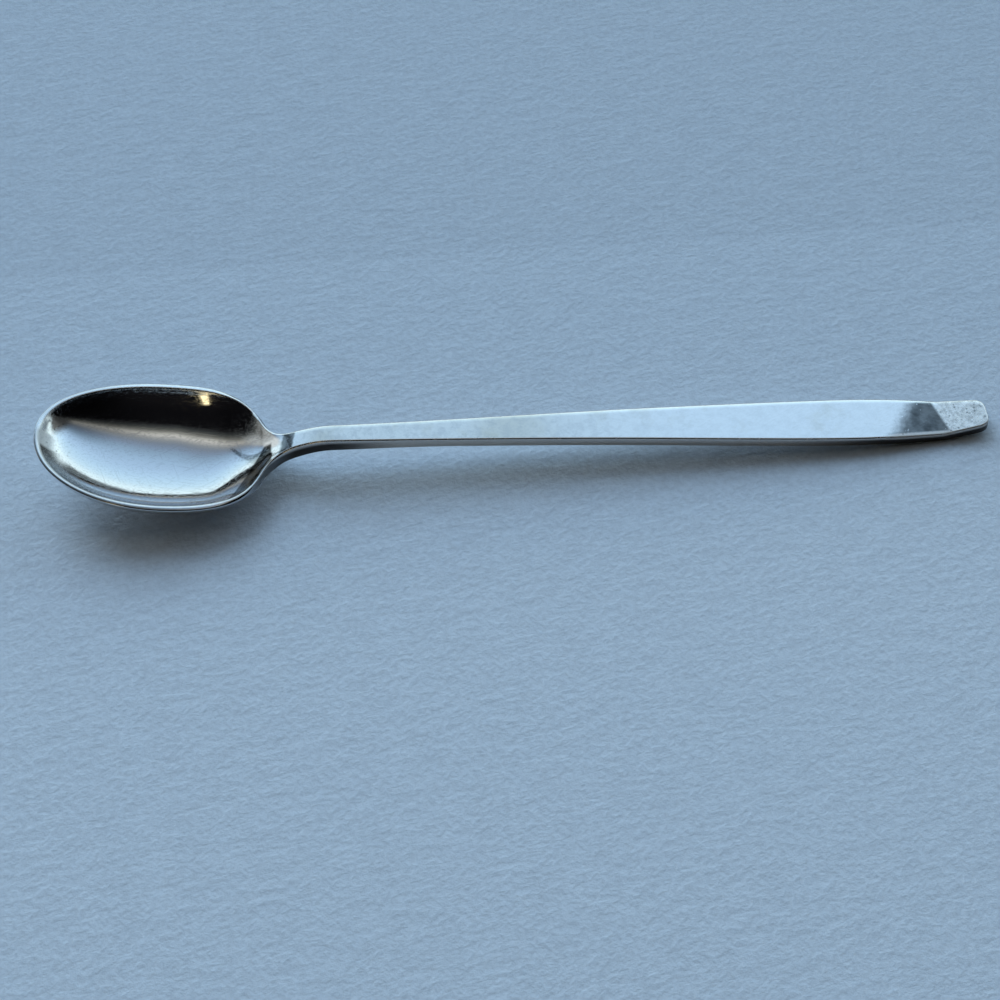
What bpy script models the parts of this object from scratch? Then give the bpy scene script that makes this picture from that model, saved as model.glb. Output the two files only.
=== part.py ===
"""A one-piece metal feeding spoon: a small egg-shaped bowl on a long, flat, slightly flared handle.

Lengths are in metres. X runs from the bowl's tip to the end of the handle, Y across the spoon and
Z up from the table that it lies on. One sheet of faces makes the upper surface: the section across
the bowl's widest place is spun half a turn for the tip, drawn along the shoulder, neck and handle,
and spun half a turn again for the handle's end. Thickness and rounded edges follow from the sheet.
"""

import math

import bmesh
import bpy
from mathutils import Matrix, Vector

# Outline seen from above
LENGTH = 0.1394             # inside of the rim at the tip to the end of the handle
BOWL_WIDTH = 0.0213         # inside the rim, at the widest place
TIP_LENGTH = 0.0173         # rim at the tip to the widest place
TIP_FULLNESS = 2.15         # 2 is a half ellipse, more is fuller
SHOULDER_LENGTH = 0.0195    # widest place to the narrow of the neck
SHOULDER_FULLNESS = 0.93    # how long the shoulder stays wide, as a share of its length
NECK_SWEEP = 0.46           # how gently it runs out into the neck, as a share of its length
NECK_WIDTH = 0.0030
HANDLE_WIDTH = 0.0075
FLARE_START = 0.24          # how slowly the handle begins to widen, as a share of its flare
FLARE_FINISH = 0.18         # how slowly the widening ends, as a share of its flare
TAPER_LENGTH = 0.0208       # handle's widest place to its end
END_WIDTH = 0.0047
END_ROUND = 0.0022          # length of the rounded end
END_SQUARENESS = 3.6        # 2 is a half ellipse, more is squarer

# Height of the rim and of the handle's upper face, above the table
TIP_HEIGHT = 0.0104
TIP_SLOPE = 0.33            # fall of the rim towards the neck, at the tip
HEEL_HEIGHT = 0.0044        # lowest stretch of the rim, some way before the neck
HEEL_BEFORE_NECK = 0.0055
HEEL_SLOPE = 0.10
CLIMB_BEFORE_NECK = 0.0015  # steepest place of the climb from the bowl to the handle
CLIMB_HEIGHT = 0.00545
CLIMB_SLOPE = 0.45
STEM_HEIGHT = 0.00691       # where the neck's bend runs out into the straight handle
BEND_LENGTH = 0.0050        # narrow of the neck to that place
STEM_SLOPE = 0.0495
HANDLE_SLOPE = 0.0645       # fall of the handle's flat stretch
FLAT_LENGTH = 0.0343
DIP_LENGTH = 0.0060         # past the flat stretch the handle falls a little faster
DIP_SLOPE = 0.105
TURN_LENGTH = 0.0013        # then it touches the table and turns up
END_LENGTH = 0.0064         # the turned-up end
END_SLOPE = 0.125

# Hollow of the bowl and thickness of the metal
BOWL_DEPTH = 0.00545
HOLLOW_LENGTH = 0.0177      # widest place to where the hollow fades out on the neck
RIM_STEEPNESS = 0.98        # 0 is a parabola, 1 an upright wall at the rim
SHOULDER_SOFTENS = 0.35     # from this share of the hollow's length its edges run out level
RIM_WIDTH = 0.00082         # the rim is ground nearly level
TIP_RIM_WIDTH = 0.00066     # worn narrower at the tip
RIM_FALL = 0.16             # fall of the rim towards its outer edge
RIM_TURN = 0.0140           # before the neck the rim turns into the handle's upright side
TIP_WALL = 0.0008           # worn thinner at the tip
BOWL_WALL = 0.0010
NECK_THICKNESS = 0.0025
NECK_GROWTH = 0.0085        # the bowl's wall thickens to the neck over this length
NECK_FADE = 0.023           # narrow of the neck to where the handle has its own thickness
HANDLE_THICKNESS = 0.00185
EDGE_ROUND = 0.00026

# Fineness of the facets
COLUMNS = 10                # from the centre line to one edge
EDGE_COLUMN = 0.00045       # width of the outermost column, which takes the rounded edge
TIP_STEPS = 36
SHOULDER_STEPS = 26
FLARE_STEPS = 24
FLARE_CROWDING = 1.7        # above 1 the sections crowd towards the neck's bend
TAPER_STEPS = 24
END_STEPS = 14
EDGE_SEGMENTS = 3
WELD = 0.00001              # points this close are one point
TABLE_PASSES = 4            # tries at finding the tilt at which bowl and handle both touch

SILVER = (0.80, 0.79, 0.76, 1.0)
SILVER_ROUGHNESS = 0.22

# Places along the spoon that follow from the dimensions
NECK_X = TIP_LENGTH + SHOULDER_LENGTH
HEEL_X = NECK_X - HEEL_BEFORE_NECK
STEM_X = NECK_X + BEND_LENGTH
HANDLE_X = LENGTH - TAPER_LENGTH
TURN_END_X = LENGTH - END_LENGTH
TURN_X = TURN_END_X - TURN_LENGTH
FLAT_END_X = TURN_X - DIP_LENGTH
FLAT_START_X = FLAT_END_X - FLAT_LENGTH
TURN_HEIGHT = HANDLE_THICKNESS + DIP_SLOPE * TURN_LENGTH / 4
FLAT_END_HEIGHT = TURN_HEIGHT + (HANDLE_SLOPE + DIP_SLOPE) / 2 * DIP_LENGTH
FLAT_START_HEIGHT = FLAT_END_HEIGHT + HANDLE_SLOPE * FLAT_LENGTH
TURN_END_HEIGHT = HANDLE_THICKNESS + END_SLOPE * TURN_LENGTH / 4
END_HEIGHT = TURN_END_HEIGHT + END_SLOPE * END_LENGTH

# Side profile as (place, height, slope), joined by smooth cubic stretches
SIDE_PROFILE = (
    (0.0, TIP_HEIGHT, -TIP_SLOPE),
    (HEEL_X, HEEL_HEIGHT, -HEEL_SLOPE),
    (NECK_X - CLIMB_BEFORE_NECK, CLIMB_HEIGHT, CLIMB_SLOPE),
    (STEM_X, STEM_HEIGHT, -STEM_SLOPE),
    (FLAT_START_X, FLAT_START_HEIGHT, -HANDLE_SLOPE),
    (FLAT_END_X, FLAT_END_HEIGHT, -HANDLE_SLOPE),
    (TURN_X, TURN_HEIGHT, -DIP_SLOPE),
    (TURN_END_X, TURN_END_HEIGHT, END_SLOPE),
    (LENGTH, END_HEIGHT, END_SLOPE),
)


def ease(share):
    """Goes from 0 to 1 with level ends."""
    share = min(max(share, 0.0), 1.0)
    return share * share * (3 - 2 * share)


def edge_height(x):
    """Height of the rim, or of the handle's upper face, read off the side profile."""
    for (x0, z0, slope0), (x1, z1, slope1) in zip(SIDE_PROFILE, SIDE_PROFILE[1:]):
        if x <= x1:
            break
    run = x1 - x0
    t = (x - x0) / run
    level = t * t * (3 - 2 * t)
    start_bend = run * slope0 * t * (1 - t) ** 2
    end_bend = run * slope1 * t * t * (t - 1)
    return z0 + (z1 - z0) * level + start_bend + end_bend


def dish(share):
    """Depth across the bowl, 1 in the middle and 0 at the rim, steep where it meets the rim."""
    at_rim = math.sqrt(1 - RIM_STEEPNESS ** 2)
    return (math.sqrt(1 - (RIM_STEEPNESS * min(share, 1.0)) ** 2) - at_rim) / (1 - at_rim)


def face_height(x, y, half_width):
    """Height of the upper surface: the side profile less the hollow of the bowl."""
    if x <= TIP_LENGTH:
        along = (TIP_LENGTH - x) / TIP_LENGTH
        across = abs(2 * y / BOWL_WIDTH)
        reach = (along ** TIP_FULLNESS + across ** TIP_FULLNESS) ** (1 / TIP_FULLNESS)
        return edge_height(x) - BOWL_DEPTH * dish(reach)
    run = min((x - TIP_LENGTH) / HOLLOW_LENGTH, 1.0)
    heel = (1 - run ** 2) * (1 - run ** 4)
    share = abs(y) / half_width
    soft = ease((run - SHOULDER_SOFTENS) / (1 - SHOULDER_SOFTENS))
    across = dish(share) * (1 - soft) + (1 - share ** 2) ** 2 * soft
    return edge_height(x) - BOWL_DEPTH * heel * across


def thickness(x):
    """The metal is thin in the bowl, thickest at the neck and even along the handle."""
    if x <= TIP_LENGTH:
        return TIP_WALL + (BOWL_WALL - TIP_WALL) * ease(x / TIP_LENGTH)
    if x <= NECK_X:
        grown = ease((x - NECK_X + NECK_GROWTH) / NECK_GROWTH)
        return BOWL_WALL + (NECK_THICKNESS - BOWL_WALL) * grown
    return NECK_THICKNESS + (HANDLE_THICKNESS - NECK_THICKNESS) * ease((x - NECK_X) / NECK_FADE)


def bezier(start, start_pull, end_pull, end, t):
    """Point of a cubic curve in the plan."""
    return (
        Vector(start) * (1 - t) ** 3
        + Vector(start_pull) * 3 * t * (1 - t) ** 2
        + Vector(end_pull) * 3 * t * t * (1 - t)
        + Vector(end) * t ** 3
    )


def swept_edge(start, end, start_share, end_share, shares):
    """Stations along one side of the outline, which leaves and arrives level."""
    run = end[0] - start[0]
    start_pull = (start[0] + run * start_share, start[1])
    end_pull = (end[0] - run * end_share, end[1])
    return [bezier(start, start_pull, end_pull, end, share) for share in shares]


def taper_half_width(x):
    """Half width of the handle past its widest place."""
    return HANDLE_WIDTH / 2 - (HANDLE_WIDTH - END_WIDTH) / 2 * ((x - HANDLE_X) / TAPER_LENGTH) ** 2


def stations():
    """Places and half widths from just behind the bowl's widest place to the rounded end."""
    bowl = (TIP_LENGTH, BOWL_WIDTH / 2)
    neck = (NECK_X, NECK_WIDTH / 2)
    broad = (HANDLE_X, HANDLE_WIDTH / 2)
    even = [i / SHOULDER_STEPS for i in range(1, SHOULDER_STEPS + 1)]
    crowded = [(i / FLARE_STEPS) ** FLARE_CROWDING for i in range(1, FLARE_STEPS + 1)]
    shoulder = swept_edge(bowl, neck, SHOULDER_FULLNESS, NECK_SWEEP, even)
    flare = swept_edge(neck, broad, FLARE_START, FLARE_FINISH, crowded)
    straight = TAPER_LENGTH - END_ROUND
    places = [HANDLE_X + straight * i / TAPER_STEPS for i in range(1, TAPER_STEPS + 1)]
    return shoulder + flare + [Vector((x, taper_half_width(x))) for x in places]


def columns(half_width):
    """Distances across one section, from edge to edge, with a column of its own at each edge."""
    inner = half_width - EDGE_COLUMN
    one_side = [inner * i / (COLUMNS - 1) for i in range(1, COLUMNS)] + [half_width]
    return [-y for y in reversed(one_side)] + [0.0] + one_side


def place_section(verts, x, half_width):
    for vert, y in zip(verts, columns(half_width)):
        vert.co = (x, y, face_height(x, y, half_width))


def first_section(bm):
    """The line across the bowl's widest place."""
    verts = [bm.verts.new() for _ in range(2 * COLUMNS + 1)]
    place_section(verts, TIP_LENGTH, BOWL_WIDTH / 2)
    return [bm.edges.new(pair) for pair in zip(verts, verts[1:])]


def draw_section(bm, edges, x, half_width):
    """Extrudes the last section to the next place along the spoon."""
    drawn = bmesh.ops.extrude_edge_only(bm, edges=edges)["geom"]
    verts = [g for g in drawn if isinstance(g, bmesh.types.BMVert)]
    verts.sort(key=lambda vert: vert.co.y)
    place_section(verts, x, half_width)
    fresh = set(verts)
    return [g for g in drawn if isinstance(g, bmesh.types.BMEdge) and fresh.issuperset(g.verts)]


def spin_half(bm, edges, steps, turn, moved):
    """Spins one half of a section half a turn about the centre line; moved() places each point."""
    half = [e for e in edges if min(v.co.y for v in e.verts) > -WELD]
    rim = max((v for e in half for v in e.verts), key=lambda vert: vert.co.y)
    centre = Vector((rim.co.x, 0.0, 0.0))
    half_width = rim.co.y
    older = set(bm.verts)
    bmesh.ops.spin(bm, geom=half, cent=centre, axis=(0, 0, 1), angle=turn, steps=steps)
    for vert in bm.verts:
        if vert in older:
            continue
        out = vert.co - centre
        share = math.hypot(out.x, out.y) / half_width
        vert.co = moved(share, math.atan2(out.y, abs(out.x)))


def half_round(angle, squareness):
    """Shares along and across of a point on half a round, whose squareness is 2 for an ellipse."""
    power = 2 / squareness
    along = max(math.cos(angle), 0.0) ** power
    across = math.copysign(abs(math.sin(angle)) ** power, angle)
    return along, across


def tip_point(share, angle):
    """Point of the bowl's tip: nearly half an ellipse in plan."""
    along, across = half_round(angle, TIP_FULLNESS)
    x = TIP_LENGTH * (1 - share * along)
    y = share * across * BOWL_WIDTH / 2
    return x, y, face_height(x, y, BOWL_WIDTH / 2)


def end_point(share, angle):
    """Point of the handle's end: a squarish half round in plan."""
    along, across = half_round(angle, END_SQUARENESS)
    start = LENGTH - END_ROUND
    x = start + share * along * END_ROUND
    y = share * across * taper_half_width(start + along * END_ROUND)
    return x, y, edge_height(x)


def upper_sheet():
    """The whole upper surface as one open sheet of faces, facing up."""
    bm = bmesh.new()
    edges = first_section(bm)
    spin_half(bm, edges, TIP_STEPS, math.pi, tip_point)
    for x, half_width in stations():
        edges = draw_section(bm, edges, x, half_width)
    spin_half(bm, edges, END_STEPS, -math.pi, end_point)
    bmesh.ops.remove_doubles(bm, verts=bm.verts, dist=WELD)
    bmesh.ops.recalc_face_normals(bm, faces=bm.faces)
    if sum(face.normal.z for face in bm.faces) < 0:
        bmesh.ops.reverse_faces(bm, faces=bm.faces)
    return bm


def outward(vert):
    """Level direction that leaves the outline at a right angle, at one of its points."""
    before, after = [e.other_vert(vert).co for e in vert.link_edges if e.is_boundary]
    along = after - before
    out = Vector((along.y, -along.x, 0.0)).normalized()
    from_middle = Vector((min(vert.co.x - TIP_LENGTH, 0.0), vert.co.y, 0.0))
    return out if out.dot(from_middle) > 0 else -out


def level_rim(vert):
    """Step from the rim's inner edge to its outer edge."""
    width = TIP_RIM_WIDTH + (RIM_WIDTH - TIP_RIM_WIDTH) * ease(vert.co.x / TIP_LENGTH)
    step = outward(vert) * width
    step.z = edge_height(vert.co.x + step.x) - edge_height(vert.co.x) - RIM_FALL * width
    return step


def straight_through(x):
    """Step from the handle's upper edge to its lower one, square to the side profile."""
    slope = (edge_height(x + WELD) - edge_height(x - WELD)) / (2 * WELD)
    return Vector((slope, 0.0, -1.0)).normalized() * thickness(x)


def thicken(bm):
    """Draws the lower face out of the upper one: through the metal, but level across the bowl's rim."""
    bm.normal_update()
    through = bm.verts.layers.float_vector.new("through")
    for vert in bm.verts:
        step = -vert.normal * thickness(vert.co.x)
        if vert.is_boundary:
            turned = ease(1 - (NECK_X - vert.co.x) / RIM_TURN)
            step = level_rim(vert).lerp(straight_through(vert.co.x), turned)
        vert[through] = step
    upper_edge = [edge for edge in bm.edges if edge.is_boundary]
    drawn = bmesh.ops.extrude_face_region(bm, geom=bm.faces)["geom"]
    lower_faces = {g for g in drawn if isinstance(g, bmesh.types.BMFace)}
    lower_edge = [g for g in drawn if isinstance(g, bmesh.types.BMEdge)
                  and len(lower_faces.intersection(g.link_faces)) == 1]
    for vert in drawn:
        if isinstance(vert, bmesh.types.BMVert):
            vert.co += Vector(vert[through])
    bmesh.ops.recalc_face_normals(bm, faces=bm.faces)
    for edges in (upper_edge, lower_edge):
        bmesh.ops.bevel(bm, geom=edges, offset=EDGE_ROUND, offset_type="OFFSET", affect="EDGES",
                        segments=EDGE_SEGMENTS, profile=0.5, material=-1)


def silver():
    material = bpy.data.materials.new("silver")
    material.use_nodes = True
    shader = material.node_tree.nodes["Principled BSDF"]
    shader.inputs["Base Color"].default_value = SILVER
    shader.inputs["Metallic"].default_value = 1.0
    shader.inputs["Roughness"].default_value = SILVER_ROUGHNESS
    return material


def lay_on_table(spoon):
    """Tips the spoon until bowl and handle both touch the table, centred over the origin."""
    points = [vert.co.copy() for vert in spoon.data.vertices]
    tilt = 0.0
    for _ in range(TABLE_PASSES):
        turn = Matrix.Rotation(tilt, 3, "Y")
        turned = [turn @ point for point in points]
        bowl = min((p for p in turned if p.x < LENGTH / 2), key=lambda p: p.z)
        handle = min((p for p in turned if p.x >= LENGTH / 2), key=lambda p: p.z)
        tilt += math.atan2(handle.z - bowl.z, handle.x - bowl.x)
    middle = (min(p.x for p in turned) + max(p.x for p in turned)) / 2
    spoon.rotation_euler = (0.0, tilt, 0.0)
    spoon.location = (-middle, 0.0, -bowl.z)


def make_spoon():
    mesh = bpy.data.meshes.new("spoon")
    bm = upper_sheet()
    thicken(bm)
    bm.to_mesh(mesh)
    bm.free()
    mesh.shade_smooth()
    spoon = bpy.data.objects.new("spoon", mesh)
    bpy.context.collection.objects.link(spoon)
    mesh.materials.append(silver())
    lay_on_table(spoon)


for leftover in list(bpy.data.objects):
    bpy.data.objects.remove(leftover)
make_spoon()
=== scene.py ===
"""Looks of a one-piece silver feeding spoon: a worn, polished egg-shaped bowl on a long flat handle.

Lengths are in metres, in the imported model's frame: X from the bowl's tip to the end of the handle,
Y across the spoon and Z up from the table. The spoon is drawn again here as a finer sheet of the
same form, and thickened; the floor, the soft lights and the camera follow.
"""

import math

import bmesh
import bpy
from mathutils import Matrix, Vector


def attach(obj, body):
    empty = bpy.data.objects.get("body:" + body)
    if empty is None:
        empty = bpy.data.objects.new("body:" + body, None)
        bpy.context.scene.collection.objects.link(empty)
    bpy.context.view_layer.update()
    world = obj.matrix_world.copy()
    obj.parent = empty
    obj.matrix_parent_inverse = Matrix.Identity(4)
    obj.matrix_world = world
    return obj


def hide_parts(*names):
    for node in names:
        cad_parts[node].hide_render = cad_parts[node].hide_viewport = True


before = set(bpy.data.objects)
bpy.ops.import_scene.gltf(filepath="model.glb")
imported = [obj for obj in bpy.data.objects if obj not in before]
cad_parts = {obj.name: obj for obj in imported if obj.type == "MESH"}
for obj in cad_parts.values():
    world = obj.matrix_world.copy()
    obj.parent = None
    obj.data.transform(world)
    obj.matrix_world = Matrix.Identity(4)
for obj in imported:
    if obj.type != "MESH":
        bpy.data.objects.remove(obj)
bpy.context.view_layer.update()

# Outline seen from above
LENGTH = 0.1394             # inside of the rim at the tip to the end of the handle
BOWL_WIDTH = 0.0213         # inside the rim, at the widest place
TIP_LENGTH = 0.0173         # rim at the tip to the widest place
TIP_FULLNESS = 2.15         # 2 is a half ellipse, more is fuller
SHOULDER_LENGTH = 0.0195    # widest place to the narrow of the neck
SHOULDER_FULLNESS = 0.93    # how long the shoulder stays wide, as a share of its length
NECK_SWEEP = 0.46           # how gently it runs out into the neck, as a share of its length
NECK_WIDTH = 0.0030
HANDLE_WIDTH = 0.0075
FLARE_START = 0.24          # how slowly the handle begins to widen, as a share of its flare
FLARE_FINISH = 0.18         # how slowly the widening ends, as a share of its flare
TAPER_LENGTH = 0.0208       # handle's widest place to its end
END_WIDTH = 0.0047
END_ROUND = 0.0022          # length of the rounded end
END_SQUARENESS = 3.6        # 2 is a half ellipse, more is squarer

# Height of the rim and of the handle's upper face, above the table
TIP_HEIGHT = 0.0104
TIP_SLOPE = 0.33            # fall of the rim towards the neck, at the tip
HEEL_HEIGHT = 0.0044        # lowest stretch of the rim, some way before the neck
HEEL_BEFORE_NECK = 0.0055
HEEL_SLOPE = 0.10
CLIMB_BEFORE_NECK = 0.0015  # steepest place of the climb from the bowl to the handle
CLIMB_HEIGHT = 0.00545
CLIMB_SLOPE = 0.45
STEM_HEIGHT = 0.00691       # where the neck's bend runs out into the straight handle
BEND_LENGTH = 0.0050        # narrow of the neck to that place
STEM_SLOPE = 0.0495
HANDLE_SLOPE = 0.0645       # fall of the handle's flat stretch
FLAT_LENGTH = 0.0343
DIP_LENGTH = 0.0060         # past the flat stretch the handle falls a little faster
DIP_SLOPE = 0.105
TURN_LENGTH = 0.0013        # then it touches the table and turns up
END_LENGTH = 0.0064         # the turned-up end
END_SLOPE = 0.125

# Hollow of the bowl and thickness of the metal
BOWL_DEPTH = 0.00545
HOLLOW_LENGTH = 0.0177      # widest place to where the hollow fades out on the neck
RIM_STEEPNESS = 0.98        # 0 is a parabola, 1 an upright wall at the rim
WALL_FROM = 0.80            # from this share of the half width the wall under the rim is worn dull
WALL_FULL = 0.92
SHOULDER_SOFTENS = 0.35     # from this share of the hollow's length its edges run out level
RIM_WIDTH = 0.00082         # the rim is ground nearly level
TIP_RIM_WIDTH = 0.00066     # worn narrower at the tip
RIM_FALL = 0.16             # fall of the rim towards its outer edge
RIM_TURN = 0.0140           # before the neck the rim turns into the handle's upright side
TIP_WALL = 0.0008           # worn thinner at the tip
BOWL_WALL = 0.0010
NECK_THICKNESS = 0.0025
NECK_GROWTH = 0.0085        # the bowl's wall thickens to the neck over this length
NECK_FADE = 0.023           # narrow of the neck to where the handle has its own thickness
HANDLE_THICKNESS = 0.00185
EDGE_ROUND = 0.00026
EASE_WIDTH = 0.00090        # the handle's upper face falls away along its far edge
EASE_FALL = 0.00016
EASE_START = 0.0040         # length over which that begins, past the hollow
WEAR_FROM = 0.1225          # near its end the handle's near edge is worn to a slope
WEAR_TO = 0.1345
WEAR_START = 0.0030
WEAR_WIDTH = 0.00080
WEAR_SLOPE = 0.18
WEAR_BLEND = 3.0            # the worn finish is full a third of the way down the slope

# Fineness of the sheet
COLUMNS = 26                # from the centre line to one edge
EDGE_COLUMN = 0.00032       # width of the outermost column, which takes the rounded edge
TIP_STEPS = 84
SHOULDER_STEPS = 64
FLARE_STEPS = 72
FLARE_CROWDING = 1.7        # above 1 the sections crowd towards the neck's bend
TAPER_STEPS = 44
END_STEPS = 36
EDGE_SEGMENTS = 4
RUBBED_ABOVE = 0.78         # the rounded edge is rubbed bright where it faces up more than this
WELD = 0.00001              # points this close are one point
TABLE_PASSES = 4            # tries at finding the tilt at which bowl and handle both touch

# Camera: place, turn and lens
CAMERA_AT = (-0.01638, -0.17080, 0.23686)
CAMERA_PITCH = math.radians(34.468)
CAMERA_YAW = math.radians(-4.410)
LENS = 70.58
SENSOR = 36.0
NEAREST_SEEN = 0.01

# Light that falls on the floor: place, size and strength
KEY_AT = (-0.60, 1.10, 1.20)
KEY_SIZE = 1.1
KEY_POWER = 13.0
SKY = (0.53, 0.76, 1.0)

# Dark card on the floor behind the spoon, seen only in the silver
CARD_FROM = 0.040
CARD_REACH = 0.8
CARD_HEIGHT = 0.0002
CARD_COLOUR = (0.10, 0.11, 0.12, 1.0)
CARD_ROUGHNESS = 0.9

# Soft light that the silver mirrors: a broad pale field behind the spoon, a pale strip above it, dimness in
# front. Each row is an angle in degrees, from the horizon behind over the top, and the colour there.
SURROUND_COLOURS = (
    (3, (0.90, 1.12, 1.20)),
    (14, (1.10, 1.36, 1.44)),
    (20, (1.04, 1.32, 1.40)),
    (26, (0.84, 1.14, 1.31)),
    (30, (0.76, 1.08, 1.29)),
    (40, (0.63, 0.93, 1.20)),
    (50, (0.53, 0.78, 1.06)),
    (60, (0.44, 0.66, 0.90)),
    (70, (0.33, 0.49, 0.66)),
    (75, (0.28, 0.38, 0.52)),
    (80, (0.25, 0.31, 0.39)),
    (84, (0.32, 0.36, 0.385)),
    (87, (0.50, 0.515, 0.50)),
    (90, (0.72, 0.72, 0.67)),
    (93, (0.54, 0.55, 0.49)),
    (96, (0.20, 0.20, 0.18)),
    (99, (0.09, 0.10, 0.09)),
    (102, (0.045, 0.050, 0.052)),
    (107, (0.005, 0.005, 0.006)),
)
STRIP_FALL = 27.5               # the strip falls by this many degrees towards the left
STRIP_FALL_FROM = 0.10          # beginning here, as a share of the way to the right
STRIP_TURN = -0.78              # and rises again from here on
STRIP_RISE = 70.0

# In each pair below, an effect begins at the first number and is full at the second. Angles are in degrees,
# and ACROSS is a share of the way to the right.
STRIP_FALL_ANGLES = (30, 70)
LEFT_PANEL = (0.86, 0.93, 0.93)         # pale, far out on the left
LEFT_PANEL_ACROSS = (-0.71, -0.80)
LEFT_PANEL_TOP = (77, 71)
RIGHT_PANEL = (0.16, 0.17, 0.17)        # dark, far out on the right
RIGHT_PANEL_ACROSS = (0.86, 0.93)
RIGHT_PANEL_FOOT = (15, 30)
RIGHT_PANEL_TOP = (104, 96)
WARM_LIGHT = (1.7, 1.45, 0.85)          # small, in the dim part
WARM_LIGHT_AT = -0.25
WARM_LIGHT_HALF = (0.06, 0.025)
WARM_LIGHT_TOP = (139, 147)
WARM_LIGHT_FOOT = (177, 171)
STRIP_RIGHT_ACROSS = (0.15, 0.75)       # the strip dims towards both ends
STRIP_RIGHT_DIM = 0.62
STRIP_LEFT_ACROSS = (-0.35, -0.80)
STRIP_LEFT_DIM = 0.35
STRIP_ANGLES = (80, 88)
CORNER_ACROSS = (0.45, 0.85)            # the pale field dims towards its right corner
CORNER_ANGLES = (50, 75)
CORNER_DIM = 0.55
BAR_LEAN = Vector((1.0, 0.606, 0.532)).normalized()     # a dark upright bar lies in this plane
BAR_EDGES = (0.0312, 0.0168)
BAR_TOP = (84, 80)
BAR_DIM = 0.75
LEDGE_LEFT = (0.16, 0.26)               # a dark ledge along the horizon
LEDGE_RIGHT = (0.66, 0.54)
LEDGE_TOP = (16, 12)
LEDGE_DIM = 0.85

# Sockets of the mix node that hold colours
FIRST_COLOUR = 6
SECOND_COLOUR = 7
MIXED_COLOUR = 2

# Painted floor
FLOOR_REACH = 6.0
FLOOR_PALE = (0.74, 0.80, 0.88, 1.0)
FLOOR_DARK = (0.64, 0.69, 0.76, 1.0)
# painted shade: the floor is darker towards the back
FLOOR_SHADE = (0.86, 0.88, 0.90, 1.0)   # towards the back the floor is a little darker
FLOOR_SHADE_DEPTH = (-0.035, 0.030)
FLOOR_GRAIN = 1100.0                    # noise scales: more is finer
FLOOR_BRUSH = 600.0
FLOOR_BRUSH_TURN = -0.2
FLOOR_BRUSH_STRETCH = (0.35, 1.0, 1.0)
FLOOR_GRAIN_SHARE = 0.6
FLOOR_BRUSH_SHARE = 0.4
FLOOR_PAINT = (0.35, 0.65)
FLOOR_ROUGHNESS = 0.6
FLOOR_BUMP = 0.0010
FLOOR_BUMP_STRENGTH = 0.35

# Colours of the silver
CLEAN_SILVER = (0.90, 0.89, 0.87, 1.0)
DULL_SILVER = (0.66, 0.67, 0.69, 1.0)
SCRATCHED_SILVER = (0.45, 0.46, 0.48, 1.0)
RUBBED_SILVER = (0.97, 0.96, 0.94, 1.0)
YELLOW_TARNISH = (0.66, 0.62, 0.52, 1.0)
SIDE_SILVER = (0.66, 0.60, 0.55, 1.0)
# painted shade on the handle's near side, which mirrors the handle's shadow
NEAR_SIDE_PAINTED_SHADE = (0.055, 0.050, 0.047, 1.0)
# tarnish and dirt, and also the colour of painted shade and painted dark reflections
DARK_TARNISH_AND_SHADE = (0.14, 0.145, 0.145, 1.0)
# painted dark reflection in the bowl's heel
BLACK_PAINTED_REFLECTION = (0.022, 0.024, 0.025, 1.0)
# painted dark reflection on the handle's flat before the turned-up end
PAINTED_DARK_REFLECTION = (0.055, 0.060, 0.062, 1.0)
WORN_END = (0.98, 0.91, 0.84, 1.0)

# Wear on the silver. In each pair it begins at the first number and is full at the second. Pairs are places
# along the laid spoon, or across it where the name ends in Y, unless a comment says otherwise. A fineness is
# the scale of a noise, more being finer.

# All over: clouds of tarnish, grain, fine scratches and rubbed edges
POLISH = 0.045                          # roughness of the clean silver
HANDLE_FROM = (-0.036, -0.031)          # here the bowl's finish gives way to the handle's
UPPER_FACE = (0.5, 0.2)                 # shares of the way to the underside
RUBBED_EDGE = (0.55, 0.95)              # shares of the rounded edge
CLOUD_FINENESS = 190.0
CLOUD_TARNISH = (0.50, 0.70)            # shares of the noise
CLOUD_YELLOW = 0.32
CLOUD_HEIGHT = 0.5
GRAIN_FINENESS = 2400.0
SCRATCH_ROWS = (                        # turn, fineness and rarity
    (0.25, 5200.0, 0.58),
    (-0.5, 4200.0, 0.60),
    (1.2, 3600.0, 0.64),
)
SCRATCHES_ON_HANDLE = 0.3               # share of the strength that they have in the bowl
SCRATCH_STRETCH = (0.018, 1.0, 1.0)
SCRATCH_EDGE = 0.03
SCRATCH_DEPTH = 0.12
SILVER_BUMP = 0.00002
SILVER_BUMP_STRENGTH = 0.25

# Painted dark reflection on the flat before the turned-up end: slanted sides with a ragged border, paler
# patches and flecks
RAGGED_FINENESS = 1400.0
RAGGED_DEPTH = 0.0016
REFLECTION_LEFT = (0.0554, 0.0590)
REFLECTION_LEFT_SLANT = 0.56
REFLECTION_RIGHT = (0.0633, 0.0627)
REFLECTION_RIGHT_SLANT = 0.335
REFLECTION_FAR_Y = (0.0030, 0.0025)
REFLECTION_PATCH_FINENESS = 420.0
REFLECTION_PATCHES = (0.35, 0.65)            # shares of the noise
REFLECTION_PATCH_SHARE = 0.14
FLECK_FINENESS = 1700.0
FLECK_SIZE = 0.30
FLECK_CLUSTER_FINENESS = 600.0
FLECK_CLUSTERS = (0.52, 0.60)           # shares of the noise
FLECK_SHARE = 0.55

# Painted dark reflection in the near corner of the bowl's heel, and across the bend of the neck
HEEL_SLANT = 0.549
HEEL_LEFT = (-0.03860, -0.03815)
HEEL_RIGHT = (-0.0366, -0.0370)
HEEL_FAR_Y = (0.0011, 0.0005)
HEEL_PALER_Y = (-0.0008, -0.0024)
BEND_SLANT = 0.21
BEND_RAGGED = 0.35
BEND_LEFT = (-0.03550, -0.03500)
BEND_RIGHT = (-0.03320, -0.03365)

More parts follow.
